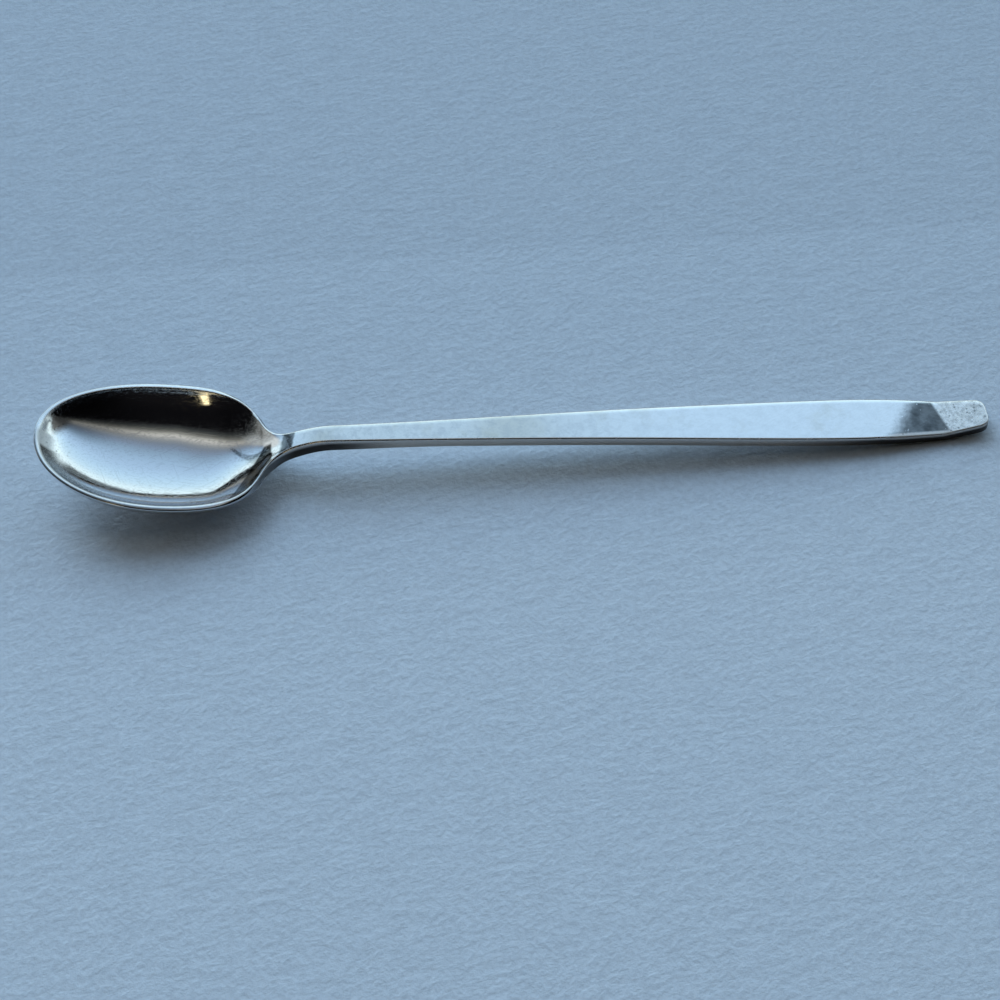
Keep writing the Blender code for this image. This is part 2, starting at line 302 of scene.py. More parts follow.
# Pits at the tip, at the end and in the painted dark reflection before the end
PIT_FLOOR = 0.5                         # share of a pit's size that is fully dark
PITTED_REFLECTION = 0.6
SPECK_FINENESS = 1500.0
SPECK_SIZE = 0.34
SPECK_CLUSTER_FINENESS = 700.0
SPECK_CLUSTERS = (0.45, 0.6)            # shares of the noise
SPECK_FACE = (0.15, 0.02)               # shares of the way to the underside

# Turned-up end, worn pale with dirt in patches
END_FROM = (0.0615, 0.0640)
END_MOTTLE_FINENESS = 1500.0
END_MOTTLE = (0.38, 0.66)               # shares of the noise
END_DIRT = 0.04
END_MOTTLE_DIRT = 0.46

# Handle's upper face, mottled, and yellower on its slim stem
FACE_MOTTLE_FINENESS = 650.0
FACE_MOTTLE = (0.40, 0.66)              # shares of the noise
FACE_WEAR = 0.15
STEM_FROM = (0.026, -0.004)
STEM_WEAR = 0.22
STEM_YELLOW = 0.38
STEM_PATCH_AT = -0.0016
STEM_PATCH_HALF = (0.0075, 0.0010)      # distances from that place
PATCH_YELLOW = 0.35

# Bowl's tip: a wall with a painted dark reflection on both sides and scoured in the middle, and painted
# shade on the rim's near side
TIP_FROM = (-0.0640, -0.0680)
TIP_SIDES = (-0.056, -0.063)
TIP_SIDES_Y = (0.0015, 0.0045)
TIP_SIDES_DARK = 0.65
TIP_CORNER = (-0.0655, -0.0682)
TIP_CORNER_Y = (-0.0008, -0.0015)
TIP_CORNER_DARK = 0.80
TIP_MIDDLE = (-0.0672, -0.0684)
TIP_MIDDLE_AT_Y = 0.0001
TIP_MIDDLE_HALF_Y = (0.0016, 0.0007)    # distances from that place
WORN_WALL_Y = (0.0035, 0.0005)
RIM_OUTER = (0.30, 0.60)                # shares of the way to the underside
RIM_OUTER_END = (1.0, 0.95)             # the same
RIM_DARK = (-0.040, -0.056)
RIM_DARK_Y = (0.0030, -0.0010)

# Upright sides of the handle, darker towards the end and the neck, low down and most of all on the near
# side: painted shade for the handle's shadow that they mirror, with some tarnish
SIDE_DARK_END = (0.035, 0.056)
SIDE_DARK_NECK = (-0.017, -0.028)
SIDE_DARK_LOW = (0.10, 0.40)            # shares of the way to the underside
SIDE_NEAR_Y = (0.0008, -0.0008)

# Places along the spoon that follow from the dimensions
NECK_X = TIP_LENGTH + SHOULDER_LENGTH
HEEL_X = NECK_X - HEEL_BEFORE_NECK
HOLLOW_X = TIP_LENGTH + HOLLOW_LENGTH
STEM_X = NECK_X + BEND_LENGTH
HANDLE_X = LENGTH - TAPER_LENGTH
TURN_END_X = LENGTH - END_LENGTH
TURN_X = TURN_END_X - TURN_LENGTH
FLAT_END_X = TURN_X - DIP_LENGTH
FLAT_START_X = FLAT_END_X - FLAT_LENGTH
TURN_HEIGHT = HANDLE_THICKNESS + DIP_SLOPE * TURN_LENGTH / 4
FLAT_END_HEIGHT = TURN_HEIGHT + (HANDLE_SLOPE + DIP_SLOPE) / 2 * DIP_LENGTH
FLAT_START_HEIGHT = FLAT_END_HEIGHT + HANDLE_SLOPE * FLAT_LENGTH
TURN_END_HEIGHT = HANDLE_THICKNESS + END_SLOPE * TURN_LENGTH / 4
END_HEIGHT = TURN_END_HEIGHT + END_SLOPE * END_LENGTH

# Side profile as (place, height, slope), joined by smooth cubic stretches
SIDE_PROFILE = (
    (0.0, TIP_HEIGHT, -TIP_SLOPE),
    (HEEL_X, HEEL_HEIGHT, -HEEL_SLOPE),
    (NECK_X - CLIMB_BEFORE_NECK, CLIMB_HEIGHT, CLIMB_SLOPE),
    (STEM_X, STEM_HEIGHT, -STEM_SLOPE),
    (FLAT_START_X, FLAT_START_HEIGHT, -HANDLE_SLOPE),
    (FLAT_END_X, FLAT_END_HEIGHT, -HANDLE_SLOPE),
    (TURN_X, TURN_HEIGHT, -DIP_SLOPE),
    (TURN_END_X, TURN_END_HEIGHT, END_SLOPE),
    (LENGTH, END_HEIGHT, END_SLOPE),
)


def ease(share):
    """Goes from 0 to 1 with level ends."""
    share = min(max(share, 0.0), 1.0)
    return share * share * (3 - 2 * share)


def edge_height(x):
    """Height of the rim, or of the handle's upper face, read off the side profile."""
    for (x0, z0, slope0), (x1, z1, slope1) in zip(SIDE_PROFILE, SIDE_PROFILE[1:]):
        if x <= x1:
            break
    run = x1 - x0
    t = (x - x0) / run
    level = t * t * (3 - 2 * t)
    start_bend = run * slope0 * t * (1 - t) ** 2
    end_bend = run * slope1 * t * t * (t - 1)
    return z0 + (z1 - z0) * level + start_bend + end_bend


def dish(share):
    """Depth across the bowl, 1 in the middle and 0 at the rim, steep where it meets the rim."""
    at_rim = math.sqrt(1 - RIM_STEEPNESS ** 2)
    return (math.sqrt(1 - (RIM_STEEPNESS * min(share, 1.0)) ** 2) - at_rim) / (1 - at_rim)


def edge_fall(x, y, half_width):
    """How far the handle's upper face falls away along its edges."""
    to_edge = half_width - abs(y)
    if y > 0:
        eased = max(1 - to_edge / EASE_WIDTH, 0.0)
        return EASE_FALL * eased ** 2 * ease((x - HOLLOW_X) / EASE_START)
    worn = ease((x - WEAR_FROM) / WEAR_START) * ease((WEAR_TO - x) / WEAR_START)
    return WEAR_SLOPE * worn * max(WEAR_WIDTH - to_edge, 0.0)


def face_height(x, y, half_width):
    """Height of the upper surface: the side profile less the hollow of the bowl."""
    if x <= TIP_LENGTH:
        along = (TIP_LENGTH - x) / TIP_LENGTH
        across = abs(2 * y / BOWL_WIDTH)
        reach = (along ** TIP_FULLNESS + across ** TIP_FULLNESS) ** (1 / TIP_FULLNESS)
        return edge_height(x) - BOWL_DEPTH * dish(reach)
    run = min((x - TIP_LENGTH) / HOLLOW_LENGTH, 1.0)
    heel = (1 - run ** 2) * (1 - run ** 4)
    share = abs(y) / half_width
    soft = ease((run - SHOULDER_SOFTENS) / (1 - SHOULDER_SOFTENS))
    across = dish(share) * (1 - soft) + (1 - share ** 2) ** 2 * soft
    return edge_height(x) - BOWL_DEPTH * heel * across - edge_fall(x, y, half_width)


def thickness(x):
    """The metal is thin in the bowl, thickest at the neck and even along the handle."""
    if x <= TIP_LENGTH:
        return TIP_WALL + (BOWL_WALL - TIP_WALL) * ease(x / TIP_LENGTH)
    if x <= NECK_X:
        grown = ease((x - NECK_X + NECK_GROWTH) / NECK_GROWTH)
        return BOWL_WALL + (NECK_THICKNESS - BOWL_WALL) * grown
    return NECK_THICKNESS + (HANDLE_THICKNESS - NECK_THICKNESS) * ease((x - NECK_X) / NECK_FADE)


def bezier(start, start_pull, end_pull, end, t):
    """Point of a cubic curve in the plan."""
    return (
        Vector(start) * (1 - t) ** 3
        + Vector(start_pull) * 3 * t * (1 - t) ** 2
        + Vector(end_pull) * 3 * t * t * (1 - t)
        + Vector(end) * t ** 3
    )


def swept_edge(start, end, start_share, end_share, shares):
    """Stations along one side of the outline, which leaves and arrives level."""
    run = end[0] - start[0]
    start_pull = (start[0] + run * start_share, start[1])
    end_pull = (end[0] - run * end_share, end[1])
    return [bezier(start, start_pull, end_pull, end, share) for share in shares]


def taper_half_width(x):
    """Half width of the handle past its widest place."""
    return HANDLE_WIDTH / 2 - (HANDLE_WIDTH - END_WIDTH) / 2 * ((x - HANDLE_X) / TAPER_LENGTH) ** 2


def stations():
    """Places and half widths from just behind the bowl's widest place to the rounded end."""
    bowl = (TIP_LENGTH, BOWL_WIDTH / 2)
    neck = (NECK_X, NECK_WIDTH / 2)
    broad = (HANDLE_X, HANDLE_WIDTH / 2)
    even = [i / SHOULDER_STEPS for i in range(1, SHOULDER_STEPS + 1)]
    crowded = [(i / FLARE_STEPS) ** FLARE_CROWDING for i in range(1, FLARE_STEPS + 1)]
    shoulder = swept_edge(bowl, neck, SHOULDER_FULLNESS, NECK_SWEEP, even)
    flare = swept_edge(neck, broad, FLARE_START, FLARE_FINISH, crowded)
    straight = TAPER_LENGTH - END_ROUND
    places = [HANDLE_X + straight * i / TAPER_STEPS for i in range(1, TAPER_STEPS + 1)]
    return shoulder + flare + [Vector((x, taper_half_width(x))) for x in places]


def columns(half_width):
    """Distances across one section, from edge to edge, with a column of its own at each edge."""
    inner = half_width - EDGE_COLUMN
    one_side = [inner * i / (COLUMNS - 1) for i in range(1, COLUMNS)] + [half_width]
    return [-y for y in reversed(one_side)] + [0.0] + one_side


def place_section(verts, x, half_width):
    """Moves a row of points to one place along the spoon."""
    for vert, y in zip(verts, columns(half_width)):
        vert.co = (x, y, face_height(x, y, half_width))


def first_section(bm):
    """The line across the bowl's widest place."""
    verts = [bm.verts.new() for _ in range(2 * COLUMNS + 1)]
    place_section(verts, TIP_LENGTH, BOWL_WIDTH / 2)
    return [bm.edges.new(pair) for pair in zip(verts, verts[1:])]


def draw_section(bm, edges, x, half_width):
    """Extrudes the last section to the next place along the spoon."""
    drawn = bmesh.ops.extrude_edge_only(bm, edges=edges)["geom"]
    verts = [g for g in drawn if isinstance(g, bmesh.types.BMVert)]
    verts.sort(key=lambda vert: vert.co.y)
    place_section(verts, x, half_width)
    fresh = set(verts)
    return [g for g in drawn if isinstance(g, bmesh.types.BMEdge) and fresh.issuperset(g.verts)]


def spin_half(bm, edges, steps, turn, moved):
    """Spins one half of a section half a turn about the centre line; moved() places each point."""
    half = [e for e in edges if min(v.co.y for v in e.verts) > -WELD]
    rim = max((v for e in half for v in e.verts), key=lambda vert: vert.co.y)
    centre = Vector((rim.co.x, 0.0, 0.0))
    half_width = rim.co.y
    older = set(bm.verts)
    bmesh.ops.spin(bm, geom=half, cent=centre, axis=(0, 0, 1), angle=turn, steps=steps)
    for vert in bm.verts:
        if vert in older:
            continue
        out = vert.co - centre
        share = math.hypot(out.x, out.y) / half_width
        vert.co = moved(share, math.atan2(out.y, abs(out.x)))


def half_round(angle, squareness):
    """Shares along and across of a point on half a round, whose squareness is 2 for an ellipse."""
    power = 2 / squareness
    along = max(math.cos(angle), 0.0) ** power
    across = math.copysign(abs(math.sin(angle)) ** power, angle)
    return along, across


def tip_point(share, angle):
    """Point of the bowl's tip: nearly half an ellipse in plan."""
    along, across = half_round(angle, TIP_FULLNESS)
    x = TIP_LENGTH * (1 - share * along)
    y = share * across * BOWL_WIDTH / 2
    return x, y, face_height(x, y, BOWL_WIDTH / 2)


def end_point(share, angle):
    """Point of the handle's end: a squarish half round in plan."""
    along, across = half_round(angle, END_SQUARENESS)
    start = LENGTH - END_ROUND
    x = start + share * along * END_ROUND
    y = share * across * taper_half_width(start + along * END_ROUND)
    to_edge = (1 - share) * taper_half_width(start)
    return x, y, edge_height(x) - edge_fall(x, y, abs(y) + to_edge)


def upper_sheet():
    """The whole upper surface as one open sheet of faces, facing up."""
    bm = bmesh.new()
    edges = first_section(bm)
    spin_half(bm, edges, TIP_STEPS, math.pi, tip_point)
    for x, half_width in stations():
        edges = draw_section(bm, edges, x, half_width)
    spin_half(bm, edges, END_STEPS, -math.pi, end_point)
    bmesh.ops.remove_doubles(bm, verts=bm.verts, dist=WELD)
    bmesh.ops.recalc_face_normals(bm, faces=bm.faces)
    if sum(face.normal.z for face in bm.faces) < 0:
        bmesh.ops.reverse_faces(bm, faces=bm.faces)
    return bm


def outward(vert):
    """Level direction that leaves the outline at a right angle, at one of its points."""
    before, after = [e.other_vert(vert).co for e in vert.link_edges if e.is_boundary]
    along = after - before
    out = Vector((along.y, -along.x, 0.0)).normalized()
    from_middle = Vector((min(vert.co.x - TIP_LENGTH, 0.0), vert.co.y, 0.0))
    return out if out.dot(from_middle) > 0 else -out


def side_share(x):
    """How far the level rim has turned into the handle's upright side: 0 on the bowl, 1 at the neck."""
    return ease(1 - (NECK_X - x) / RIM_TURN)


def half_width_at(x, sides):
    """Half the width of the upper face, from the sections it is drawn through."""
    return next((half for place, half in sides if place >= x), sides[-1][1])


def under_rim(x, y, sides):
    """0 on the bowl's floor, 1 on the steep wall right under its rim."""
    along = max((TIP_LENGTH - x) / TIP_LENGTH, 0.0)
    across = abs(y) / (half_width_at(x, sides) if x > TIP_LENGTH else BOWL_WIDTH / 2)
    share = (along ** TIP_FULLNESS + across ** TIP_FULLNESS) ** (1 / TIP_FULLNESS)
    return ease((share - WALL_FROM) / (WALL_FULL - WALL_FROM)) * ease((HEEL_X - x) / EASE_START)


def level_rim(vert):
    """Step from the rim's inner edge to its outer edge."""
    width = TIP_RIM_WIDTH + (RIM_WIDTH - TIP_RIM_WIDTH) * ease(vert.co.x / TIP_LENGTH)
    step = outward(vert) * width
    step.z = edge_height(vert.co.x + step.x) - edge_height(vert.co.x) - RIM_FALL * width
    return step


def straight_through(vert):
    """Step through the handle's metal to its flat back."""
    x = vert.co.x
    slope = (edge_height(x + WELD) - edge_height(x - WELD)) / (2 * WELD)
    step = Vector((slope, 0.0, -1.0)).normalized() * thickness(x)
    step.z += edge_height(x) - vert.co.z
    return step


def thicken(bm):
    """Draws the lower face out of the upper one: through the metal, but level across the bowl's rim."""
    bm.normal_update()
    through = bm.verts.layers.float_vector.new("through")
    wear = bm.verts.layers.float.new("edge_wear")
    side = bm.faces.layers.float.new("side")
    wall = bm.verts.layers.float.new("wall")
    slope = bm.verts.layers.float.new("worn_slope")
    underside = bm.verts.layers.float.new("underside")
    sides = stations()
    for vert in bm.verts:
        vert[wall] = under_rim(vert.co.x, vert.co.y, sides)
        if vert.co.y < 0:
            fallen = edge_fall(vert.co.x, vert.co.y, half_width_at(vert.co.x, sides))
            vert[slope] = min(WEAR_BLEND * fallen / (WEAR_SLOPE * WEAR_WIDTH), 1.0)
        step = -vert.normal * thickness(vert.co.x)
        if vert.co.x > HOLLOW_X:
            step = straight_through(vert)
        if vert.is_boundary:
            step = level_rim(vert).lerp(straight_through(vert), side_share(vert.co.x))
        vert[through] = step
    upper = set(bm.faces)
    upper_edge = [edge for edge in bm.edges if edge.is_boundary]
    drawn = bmesh.ops.extrude_face_region(bm, geom=bm.faces)["geom"]
    lower_faces = {g for g in drawn if isinstance(g, bmesh.types.BMFace)}
    lower_edge = [g for g in drawn if isinstance(g, bmesh.types.BMEdge)
                  and len(lower_faces.intersection(g.link_faces)) == 1]
    for vert in drawn:
        if isinstance(vert, bmesh.types.BMVert):
            vert.co += Vector(vert[through])
            vert[wall] = 0.0
            vert[slope] = 0.0
            vert[underside] = 1.0
    bmesh.ops.recalc_face_normals(bm, faces=bm.faces)
    for face in set(bm.faces) - upper - lower_faces:
        face[side] = side_share(face.calc_center_median().x)
    for edges in (lower_edge, upper_edge):
        rounded = bmesh.ops.bevel(bm, geom=edges, offset=EDGE_ROUND, offset_type="OFFSET", affect="EDGES",
                                  segments=EDGE_SEGMENTS, profile=0.5, material=-1)
        for face in rounded["faces"]:
            face.normal_update()
            low = face.normal.z < RUBBED_ABOVE
            face[side] = side_share(face.calc_center_median().x) if low else 0.0
    for vert in rounded["verts"]:
        vert[wear] = 1.0


def lay_on_table(spoon):
    """Tips the mesh until bowl and handle both touch the table, centred over the origin."""
    points = [vert.co.copy() for vert in spoon.data.vertices]
    tilt = 0.0
    for _ in range(TABLE_PASSES):
        turn = Matrix.Rotation(tilt, 3, "Y")
        turned = [turn @ point for point in points]
        bowl = min((p for p in turned if p.x < LENGTH / 2), key=lambda p: p.z)
        handle = min((p for p in turned if p.x >= LENGTH / 2), key=lambda p: p.z)
        tilt += math.atan2(handle.z - bowl.z, handle.x - bowl.x)
    middle = (min(p.x for p in turned) + max(p.x for p in turned)) / 2
    laid = Matrix.Translation((-middle, 0.0, -bowl.z)) @ Matrix.Rotation(tilt, 4, "Y")
    spoon.data.transform(laid)


def make_spoon():
    """The spoon as one mesh, laid on the table."""
    mesh = bpy.data.meshes.new("silver_spoon")
    bm = upper_sheet()
    thicken(bm)
    bm.to_mesh(mesh)
    bm.free()
    mesh.shade_smooth()
    spoon = bpy.data.objects.new("silver_spoon", mesh)
    bpy.context.collection.objects.link(spoon)
    lay_on_table(spoon)
    return spoon


def make_camera():
    """The camera that looks down on the spoon."""
    data = bpy.data.cameras.new("camera")
    data.lens = LENS
    data.sensor_width = SENSOR
    data.clip_start = NEAREST_SEEN
    camera = bpy.data.objects.new("camera", data)
    camera.location = CAMERA_AT
    camera.rotation_euler = (CAMERA_PITCH, 0.0, CAMERA_YAW)
    bpy.context.collection.objects.link(camera)
    bpy.context.scene.camera = camera


def area_light(name, at, towards, width, height, colour, power):
    """A soft light that is itself unseen."""
    data = bpy.data.lights.new(name, "AREA")
    data.shape = "RECTANGLE"
    data.size = width
    data.size_y = height
    data.color = colour
    data.energy = power
    light = bpy.data.objects.new(name, data)
    light.location = at
    light.rotation_euler = (Vector(at) - Vector(towards)).to_track_quat("Z", "Y").to_euler()
    light.visible_camera = False
    bpy.context.collection.objects.link(light)
    return light


def new_node(tree, kind, **settings):
    """A node of the given kind with its settings."""
    node = tree.nodes.new(kind)
    for name, value in settings.items():
        setattr(node, name, value)
    return node


def feed(tree, socket, value):
    """Sets a socket: from another node's output, or directly when it is a plain value."""
    if isinstance(value, bpy.types.NodeSocket):
        tree.links.new(value, socket)
    else:
        socket.default_value = value


def reckon(tree, operation, first, second=0.0):
    """One step of arithmetic on node values."""
    node = new_node(tree, "ShaderNodeMath", operation=operation)
    feed(tree, node.inputs[0], first)
    feed(tree, node.inputs[1], second)
    return node.outputs[0]


def rise(tree, value, start, finish):
    """Goes smoothly from 0 to 1 while the value goes from start to finish."""
    node = new_node(tree, "ShaderNodeMapRange", interpolation_type="SMOOTHSTEP")
    feed(tree, node.inputs["Value"], value)
    feed(tree, node.inputs["From Min"], start)
    feed(tree, node.inputs["From Max"], finish)
    return node.outputs["Result"]


def colour_ramp(tree, value, stops):
    """Colours read off a row of (place, colour) stops."""
    node = new_node(tree, "ShaderNodeValToRGB")
    elements = node.color_ramp.elements
    while len(elements) < len(stops):
        elements.new(1.0)
    for element, (place, colour) in zip(elements, stops):
        element.position = place
        element.color = (*colour, 1.0)
    feed(tree, node.inputs["Fac"], value)
    return node.outputs["Color"]


def flat_sheet(name, reach, middle):
    """A level square, which reaches as far as said on each side of its middle."""
    bm = bmesh.new()
    bmesh.ops.create_grid(bm, x_segments=1, y_segments=1, size=reach, matrix=Matrix.Translation(middle))
    mesh = bpy.data.meshes.new(name)
    bm.to_mesh(mesh)
    bm.free()
    sheet = bpy.data.objects.new(name, mesh)
    bpy.context.collection.objects.link(sheet)
    return sheet


def make_lights():
    """A soft key for the floor alone, and a dark card on the floor behind that only the silver mirrors."""
    key = area_light("key", KEY_AT, (0.0, 0.0, 0.0), KEY_SIZE, KEY_SIZE, SKY, KEY_POWER)
    key.visible_glossy = False
    card = flat_sheet("dark_card", CARD_REACH, (0.0, CARD_FROM + CARD_REACH, CARD_HEIGHT))
    material, tree, shader, place = new_material("dark_card")
    shader.inputs["Base Color"].default_value = CARD_COLOUR
    shader.inputs["Roughness"].default_value = CARD_ROUGHNESS
    card.data.materials.append(material)
    card.visible_camera = False
    card.visible_diffuse = False
    card.visible_shadow = False


def product(tree, first, *others):
    """Several node values multiplied together."""
    for other in others:
        first = reckon(tree, "MULTIPLY", first, other)
    return first


def total(tree, first, *others):
    """Several node values added up."""
    for other in others:
        first = reckon(tree, "ADD", first, other)
    return first


def highest(tree, first, *others):
    """The largest of several node values."""
    for other in others:
        first = reckon(tree, "MAXIMUM", first, other)
    return first


def inverse(tree, value):
    """1 where the value is 0, and 0 where it is 1."""
    return reckon(tree, "SUBTRACT", 1.0, value)


def distance(tree, value, middle):
    """How far a node value lies from a number."""
    return reckon(tree, "ABSOLUTE", reckon(tree, "SUBTRACT", value, middle))


def along_axes(tree, place):
    """The three coordinates of a place."""
    split = new_node(tree, "ShaderNodeSeparateXYZ")
    tree.links.new(place, split.inputs[0])
    return split.outputs


def noise(tree, place, scale, detail=4.0, roughness=0.55):
    """Cloudy noise of the given fineness, between 0 and 1."""
    node = new_node(tree, "ShaderNodeTexNoise")
    feed(tree, node.inputs["Vector"], place)
    feed(tree, node.inputs["Scale"], scale)
    feed(tree, node.inputs["Detail"], detail)
    feed(tree, node.inputs["Roughness"], roughness)
    return node.outputs["Fac"]


def stretched(tree, place, turn, scale):
    """The same coordinates, turned about Z and then scaled."""
    turned = new_node(tree, "ShaderNodeMapping", vector_type="POINT")
    feed(tree, turned.inputs["Vector"], place)
    feed(tree, turned.inputs["Rotation"], (0.0, 0.0, turn))
    scaled = new_node(tree, "ShaderNodeMapping", vector_type="POINT")
    feed(tree, scaled.inputs["Vector"], turned.outputs["Vector"])
    feed(tree, scaled.inputs["Scale"], scale)
    return scaled.outputs["Vector"]


def scratches(tree, place, turn, fineness, rarity):
    """Thin lines along one direction: 1 on a scratch, 0 elsewhere."""
    lines = noise(tree, stretched(tree, place, turn, SCRATCH_STRETCH), fineness, detail=2.0)
    return rise(tree, lines, rarity, rarity + SCRATCH_EDGE)


def pits(tree, place, fineness, size):
    """Small round spots: 1 in the middle of a pit, 0 elsewhere."""
    node = new_node(tree, "ShaderNodeTexVoronoi")
    feed(tree, node.inputs["Vector"], place)
    feed(tree, node.inputs["Scale"], fineness)
    return inverse(tree, rise(tree, node.outputs["Distance"], size * PIT_FLOOR, size))


def blend(tree, share, first, second, way="MIX"):
    """Mixes two colours, or multiplies them when the way says so."""
    node = new_node(tree, "ShaderNodeMix", data_type="RGBA", blend_type=way)
    feed(tree, node.inputs["Factor"], share)
    feed(tree, node.inputs[FIRST_COLOUR], first)
    feed(tree, node.inputs[SECOND_COLOUR], second)
    return node.outputs[MIXED_COLOUR]


def new_material(name):
    """A node material, with its shader and the piece's own coordinates."""
    material = bpy.data.materials.new(name)
    material.use_nodes = True
    tree = material.node_tree
    place = new_node(tree, "ShaderNodeTexCoord").outputs["Object"]
    return material, tree, tree.nodes["Principled BSDF"], place


def emboss(tree, shader, height, depth, strength):
    """Raises the surface's shading by a height between 0 and 1, of the given depth."""
    node = new_node(tree, "ShaderNodeBump")
    feed(tree, node.inputs["Height"], height)
    feed(tree, node.inputs["Distance"], depth)
    feed(tree, node.inputs["Strength"], strength)
    tree.links.new(node.outputs["Normal"], shader.inputs["Normal"])


def surround_colours(tree, x, angle, fallen):
    """The bands of light, with the two side panels and the small warm light in them."""
    bands = colour_ramp(tree, reckon(tree, "DIVIDE", fallen, 180.0),
                        [(degrees / 180, colour) for degrees, colour in SURROUND_COLOURS])
    at_left = product(tree, rise(tree, x, *LEFT_PANEL_ACROSS), rise(tree, angle, *LEFT_PANEL_TOP))
    bands = blend(tree, at_left, bands, (*LEFT_PANEL, 1.0))
    at_right = product(tree, rise(tree, x, *RIGHT_PANEL_ACROSS), rise(tree, angle, *RIGHT_PANEL_FOOT),
                       rise(tree, angle, *RIGHT_PANEL_TOP))
    bands = blend(tree, at_right, bands, (*RIGHT_PANEL, 1.0))
    at_light = product(tree, rise(tree, distance(tree, x, WARM_LIGHT_AT), *WARM_LIGHT_HALF),
                       rise(tree, angle, *WARM_LIGHT_TOP), rise(tree, angle, *WARM_LIGHT_FOOT))
    return blend(tree, at_light, bands, (*WARM_LIGHT, 1.0))


def surround_dimming(tree, towards, x, angle, fallen):
    """How much darker the surroundings are at the strip's ends, one corner, the bar and the ledge."""
    off_strip = highest(tree, product(tree, rise(tree, x, *STRIP_RIGHT_ACROSS), STRIP_RIGHT_DIM),
                        product(tree, rise(tree, x, *STRIP_LEFT_ACROSS), STRIP_LEFT_DIM))
    dim_strip = product(tree, off_strip, rise(tree, fallen, *STRIP_ANGLES))
    dim_corner = product(tree, rise(tree, x, *CORNER_ACROSS), rise(tree, angle, *CORNER_ANGLES), CORNER_DIM)
    from_bar = new_node(tree, "ShaderNodeVectorMath", operation="DOT_PRODUCT")
    feed(tree, from_bar.inputs[0], towards)
    feed(tree, from_bar.inputs[1], BAR_LEAN)
    across_bar = reckon(tree, "ABSOLUTE", from_bar.outputs["Value"])
    at_bar = product(tree, rise(tree, across_bar, *BAR_EDGES), rise(tree, fallen, *BAR_TOP), BAR_DIM)
    at_ledge = product(tree, rise(tree, x, *LEDGE_LEFT), rise(tree, x, *LEDGE_RIGHT),
                       rise(tree, angle, *LEDGE_TOP), LEDGE_DIM)
    return highest(tree, dim_strip, dim_corner, at_bar, at_ledge)


def make_surroundings():
    """The light all around the spoon, by direction."""
    world = bpy.data.worlds.new("soft_surroundings")
    world.use_nodes = True
    bpy.context.scene.world = world
    tree = world.node_tree
    towards = new_node(tree, "ShaderNodeTexCoord").outputs["Generated"]
    x, y, z = along_axes(tree, towards)
    angle = reckon(tree, "MULTIPLY", reckon(tree, "ARCTAN2", z, y), 180 / math.pi)
    to_left = highest(tree, reckon(tree, "SUBTRACT", STRIP_FALL_FROM, x), 0.0)
    past_turn = highest(tree, reckon(tree, "SUBTRACT", STRIP_TURN, x), 0.0)
    risen = product(tree, past_turn, STRIP_RISE)
    fall = reckon(tree, "SUBTRACT", product(tree, to_left, STRIP_FALL), risen)
    fallen = total(tree, angle, product(tree, fall, rise(tree, angle, *STRIP_FALL_ANGLES)))
    background = tree.nodes["Background"]
    tree.links.new(surround_colours(tree, x, angle, fallen), background.inputs["Color"])
    dimming = surround_dimming(tree, towards, x, angle, fallen)
    tree.links.new(inverse(tree, dimming), background.inputs["Strength"])


def make_floor():
    """A plain floor with a thin, brushed coat of pale paint, and painted shade that darkens it a little
    towards the back.
    """
    floor = flat_sheet("floor", FLOOR_REACH, (0.0, 0.0, 0.0))
    material, tree, shader, place = new_material("painted_floor")
    grain = noise(tree, place, FLOOR_GRAIN, detail=6.0, roughness=0.6)
    along_brush = stretched(tree, place, FLOOR_BRUSH_TURN, FLOOR_BRUSH_STRETCH)
    brushed = noise(tree, along_brush, FLOOR_BRUSH, detail=5.0, roughness=0.6)
    coat = total(tree, product(tree, grain, FLOOR_GRAIN_SHARE), product(tree, brushed, FLOOR_BRUSH_SHARE))
    painted = blend(tree, rise(tree, coat, *FLOOR_PAINT), FLOOR_DARK, FLOOR_PALE)
    depth = along_axes(tree, place)["Y"]
    # painted shade towards the back of the floor
    shade = blend(tree, rise(tree, depth, *FLOOR_SHADE_DEPTH), (1.0, 1.0, 1.0, 1.0), FLOOR_SHADE)
    tree.links.new(blend(tree, 1.0, painted, shade, "MULTIPLY"), shader.inputs["Base Color"])
    shader.inputs["Roughness"].default_value = FLOOR_ROUGHNESS
    emboss(tree, shader, coat, FLOOR_BUMP, FLOOR_BUMP_STRENGTH)
    floor.data.materials.append(material)


def spoon_attribute(tree, name):
    """One of the values that are kept on the spoon's mesh."""
    return new_node(tree, "ShaderNodeAttribute", attribute_name=name).outputs["Fac"]


def fine_scratches(tree, place, in_bowl):
    """Scratches along three directions, strongest in the bowl."""
    lines = highest(tree, *[scratches(tree, place, *row) for row in SCRATCH_ROWS])
    strength = total(tree, SCRATCHES_ON_HANDLE, product(tree, in_bowl, 1 - SCRATCHES_ON_HANDLE))
    return product(tree, lines, strength)


def dark_painted_reflection(tree, place, x, y, ragged):
    """Painted dark reflection on the flat before the turned-up end, with slanted sides and light flecks."""
    slanted = total(tree, reckon(tree, "SUBTRACT", x, product(tree, y, REFLECTION_LEFT_SLANT)), ragged)
    leaning = total(tree, x, product(tree, y, REFLECTION_RIGHT_SLANT))
    dark_reflection = product(tree, rise(tree, slanted, *REFLECTION_LEFT), rise(tree, leaning, *REFLECTION_RIGHT),
                    rise(tree, y, *REFLECTION_FAR_Y))
    flecks = product(tree, pits(tree, place, FLECK_FINENESS, FLECK_SIZE),
                     rise(tree, noise(tree, place, FLECK_CLUSTER_FINENESS), *FLECK_CLUSTERS))
    patches = rise(tree, noise(tree, place, REFLECTION_PATCH_FINENESS), *REFLECTION_PATCHES)
    lighter = total(tree, product(tree, patches, REFLECTION_PATCH_SHARE), product(tree, flecks, FLECK_SHARE))
    return product(tree, dark_reflection, inverse(tree, lighter))


